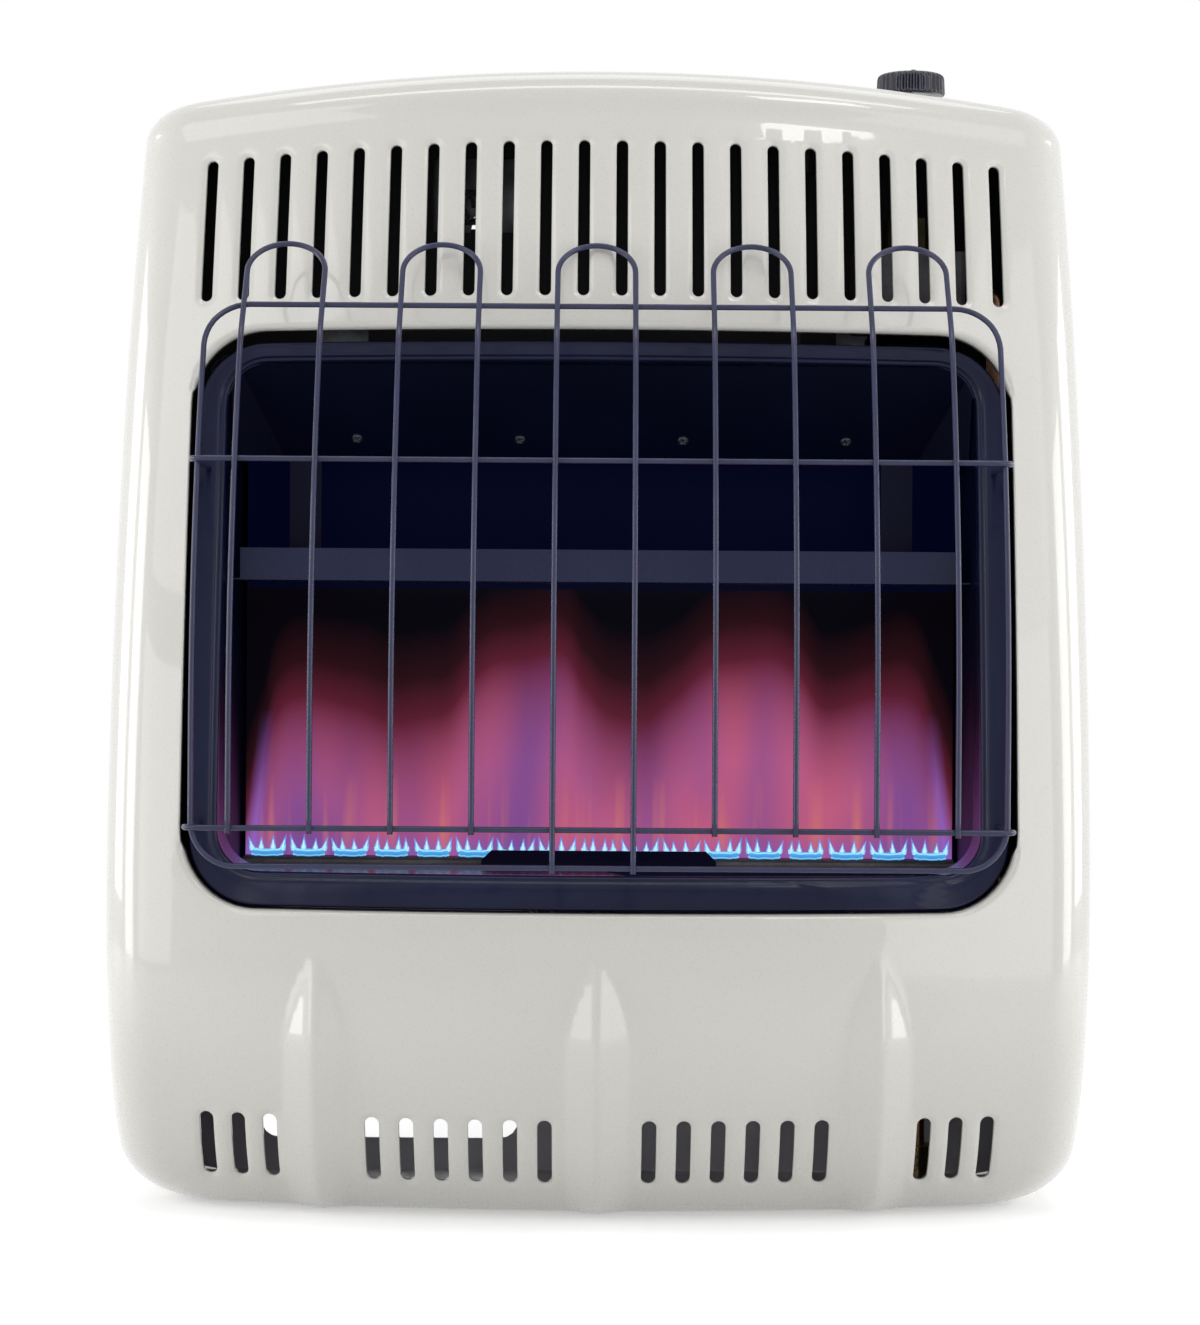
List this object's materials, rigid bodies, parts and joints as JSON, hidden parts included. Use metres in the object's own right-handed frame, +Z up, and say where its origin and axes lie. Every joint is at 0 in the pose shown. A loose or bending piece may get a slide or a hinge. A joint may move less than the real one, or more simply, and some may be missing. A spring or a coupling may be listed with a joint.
{
  "type": "vent-free blue flame propane heater",
  "caption": "Wall-hung gas room heater: bow-fronted pressed casing with louvres, enamelled window surround, wire guard, firebox and slotted burner, gas control with a turning, pressing knob.",
  "frame": {"origin": "middle of the bounding box's underside: on the floor plane, under the middle of the casing", "axes": "+X to the heater's right seen from the front, -Y out of the front window, +Y into the wall, +Z up"},
  "size_m": [0.607, 0.2856, 0.7195],
  "materials": {
    "casing_coat": "glossy cream powder coat",
    "black_enamel": "semi-gloss blue-black enamel",
    "guard_wire": "semi-gloss enamelled wire",
    "zinc_steel": "zinc plated",
    "burner_steel": "heat-tinted stainless",
    "brass": "machined",
    "copper": "drawn copper",
    "cast_valve": "as cast",
    "black_plastic": "moulded, satin",
    "ceramic": "glazed ceramic",
    "lead_sleeve": "silicone sleeve"
  },
  "bodies": {
    "heater": {"base_pan": "zinc_steel", "burner_bar": "burner_steel", "burner_gas_tube": "copper", "casing_screw_1": "zinc_steel", "casing_screw_2": "zinc_steel", "casing_screw_3": "zinc_steel", "casing_screw_4": "zinc_steel", "chassis_back": "zinc_steel", "firebox_back": "black_enamel", "firebox_floor": "black_enamel", "firebox_left": "black_enamel", "firebox_right": "black_enamel", "front_casing": "casing_coat", "gas_inlet_tube": "copper", "gas_valve_body": "cast_valve", "guard_hairpin_1": "guard_wire", "guard_hairpin_2": "guard_wire", "guard_hairpin_3": "guard_wire", "guard_hairpin_4": "guard_wire", "guard_hairpin_5": "guard_wire", "guard_lower_rail": "guard_wire", "guard_ring": "guard_wire", "guard_upper_rail": "guard_wire", "heat_shelf": "black_enamel", "hood_panel": "black_enamel", "hood_post_left": "black_enamel", "hood_post_right": "black_enamel", "hood_screw_1": "zinc_steel", "hood_screw_2": "zinc_steel", "hood_screw_3": "zinc_steel", "hood_screw_4": "zinc_steel", "igniter_body": "black_plastic", "igniter_lead": "lead_sleeve", "igniter_nut": "zinc_steel", "injector": "brass", "injector_bracket": "zinc_steel", "inlet_fitting": "brass", "mixer_tube": "burner_steel", "pilot_bracket": "zinc_steel", "pilot_burner": "brass", "pilot_gas_tube": "copper", "pilot_shield": "black_enamel", "spark_electrode": "ceramic", "thermocouple": "burner_steel", "thermocouple_lead": "copper", "valve_bonnet": "brass", "valve_bracket": "zinc_steel", "wall_bracket": "zinc_steel", "window_bezel": "black_enamel"},
    "rotor": {"valve_rotor": "brass"},
    "dial": {"valve_stem": "zinc_steel", "control_knob": "black_plastic"},
    "igniter": {"igniter_button": "black_plastic"}
  },
  "joints": [
    {"name": "dial_turn", "type": "hinge", "parent": "heater", "child": "rotor", "pos_m": [0.198, 0.08285, 0.606], "axis": [0, 0, 1], "range_deg": [-200, 0]},
    {"name": "knob_press", "type": "slide", "parent": "rotor", "child": "dial", "axis": [0, 0, -1], "range_m": [0, 0.004], "stiffness_N_per_m": 2000, "springref_m": -0.001},
    {"name": "igniter_press", "type": "slide", "parent": "heater", "child": "igniter", "axis": [0, 0, -1], "range_m": [0, 0.005], "stiffness_N_per_m": 900, "springref_m": -0.002}
  ]
}
